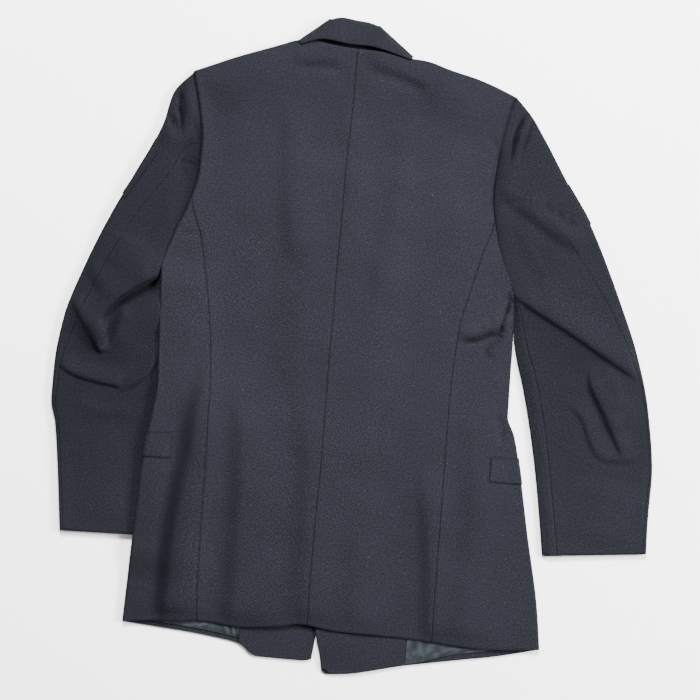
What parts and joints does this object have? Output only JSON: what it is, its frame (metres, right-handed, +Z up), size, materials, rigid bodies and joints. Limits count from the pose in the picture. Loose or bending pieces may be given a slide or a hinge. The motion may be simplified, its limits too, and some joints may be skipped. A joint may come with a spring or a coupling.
{
  "type": "military dress tunic",
  "caption": "Military dress tunic laid face down, with princess seams, two-piece sleeves, hip pocket flaps and a turned collar.",
  "frame": {"origin": "on the surface it lies on, under the middle of the laid garment's outline", "axes": "X runs across the shoulders, +Y from the hem towards the collar, +Z up out of the back"},
  "size_m": [0.822, 0.8884, 0.0221],
  "materials": {
    "wool": "dark blue-grey worsted wool, matt",
    "lining": "grey-green satin lining, soft sheen",
    "button": "plain dark button, low sheen"
  },
  "bodies": {
    "root": {"back_left": "wool", "back_right": "wool", "side_left": "wool", "side_right": "wool", "front_left": "wool", "front_right": "wool", "lapel_left": "wool", "lapel_right": "wool", "facing_left": "wool", "facing_right": "wool", "lining_left": "lining", "lining_right": "lining", "top_sleeve_left": "wool", "top_sleeve_right": "wool", "under_sleeve_left": "wool", "under_sleeve_right": "wool", "sleeve_patch_left": "wool", "sleeve_patch_right": "wool", "pocket_flap_left": "wool", "pocket_flap_right": "wool", "collar_fall": "wool", "collar_stand": "wool", "button_1": "button", "button_2": "button", "button_3": "button", "button_4": "button"}
  },
  "joints": []
}
